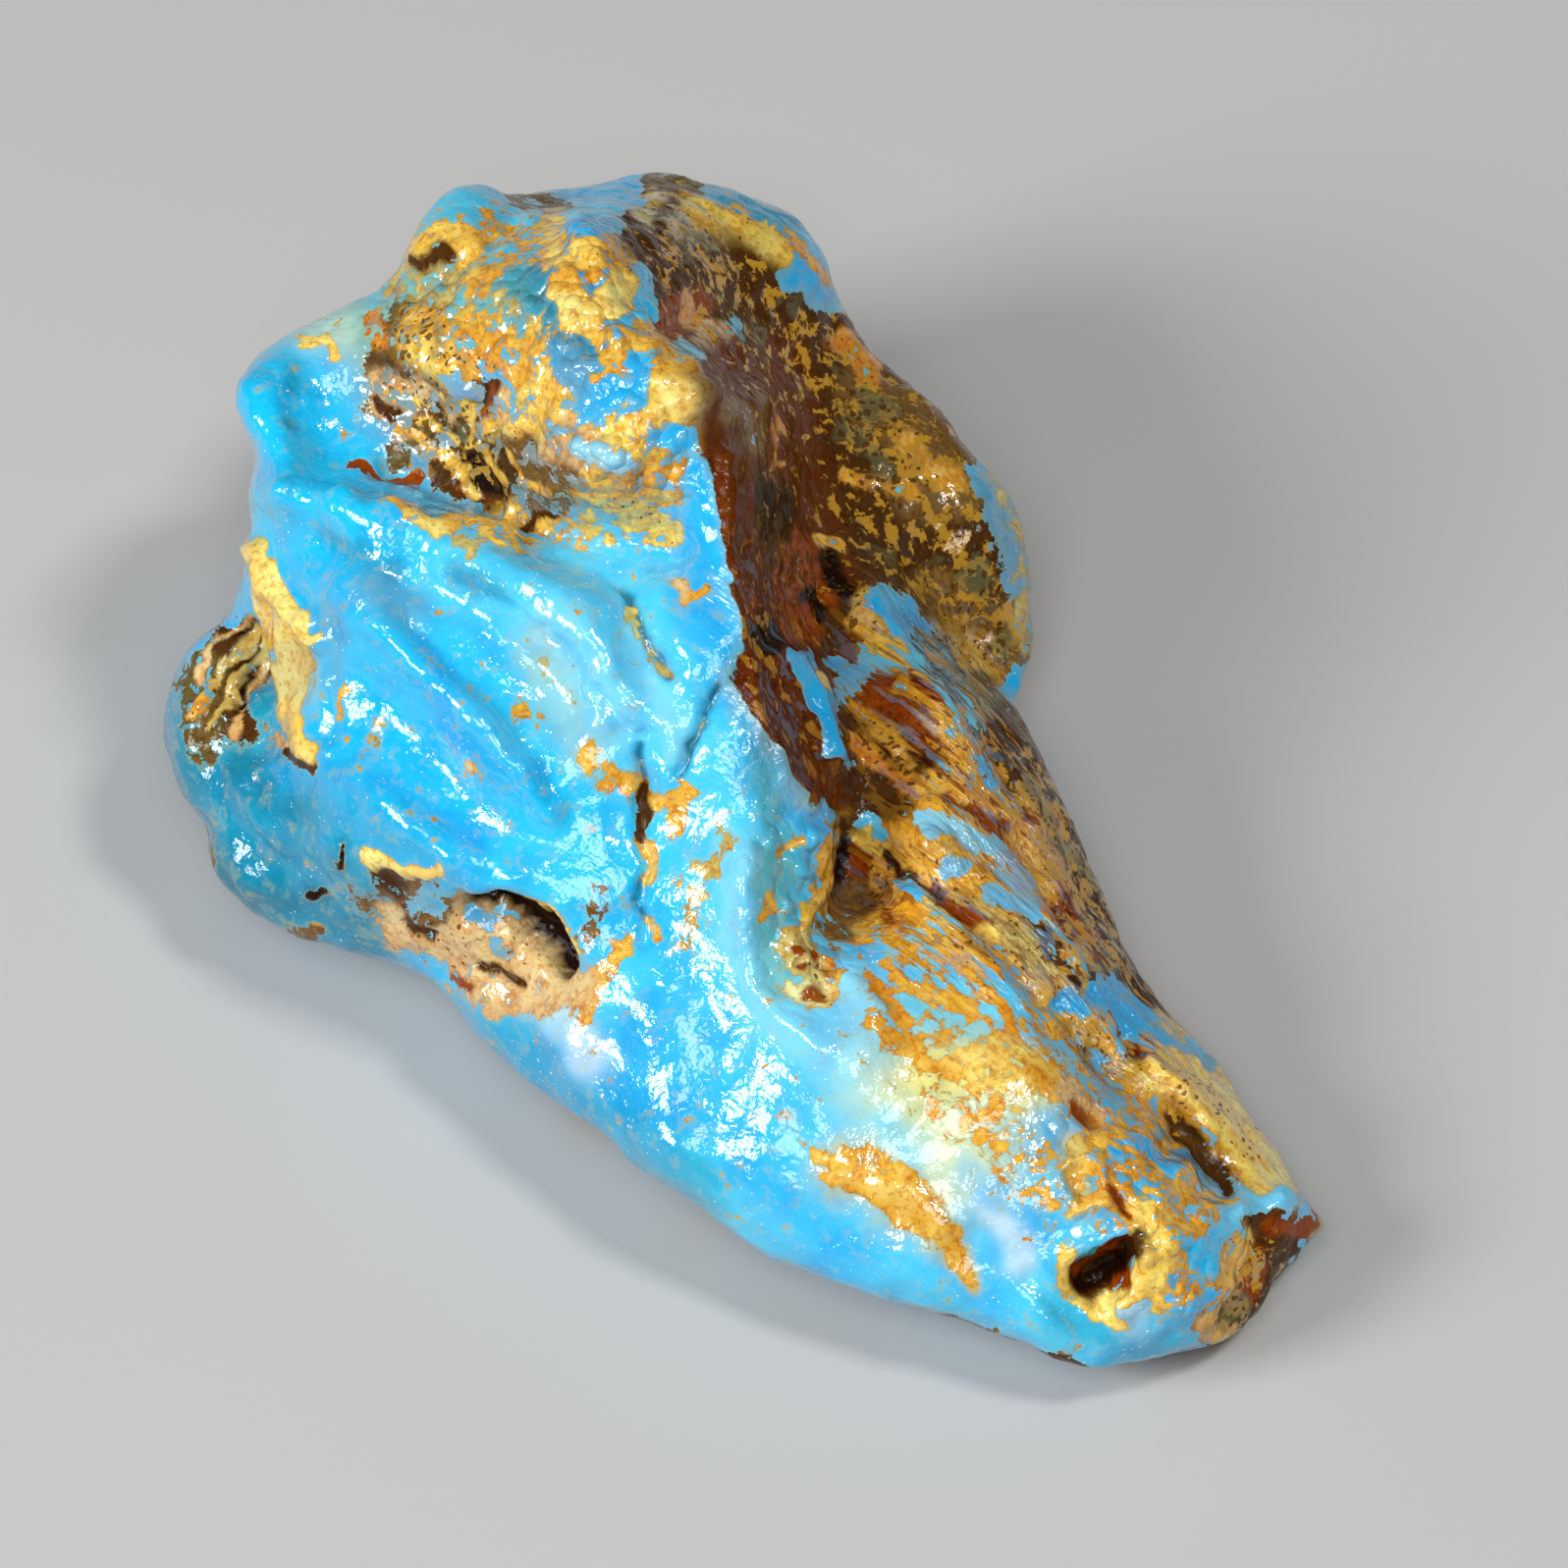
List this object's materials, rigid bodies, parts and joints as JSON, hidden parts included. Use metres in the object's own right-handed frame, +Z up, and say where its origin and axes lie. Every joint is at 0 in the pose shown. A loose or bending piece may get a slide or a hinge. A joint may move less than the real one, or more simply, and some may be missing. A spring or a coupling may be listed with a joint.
{
  "type": "rough blue amber nugget",
  "caption": "Rough glossy nugget of blue stone with ochre and brown crust, a knobbly head, a deep hollow and a long low tail, lying on its underside.",
  "frame": {"origin": "on the ground under the middle of the stone's box", "axes": "+Z up, +X along the stone's length from its head towards its tail, +Y towards the lobe behind the hollow"},
  "size_m": [0.0618, 0.0405, 0.0281],
  "materials": {
    "blue_amber": "natural, wet-looking gloss; sky blue with ochre lace, brown resin and a mottled brown back"
  },
  "bodies": {
    "root": {"blue_amber_nugget": "blue_amber"}
  },
  "joints": []
}
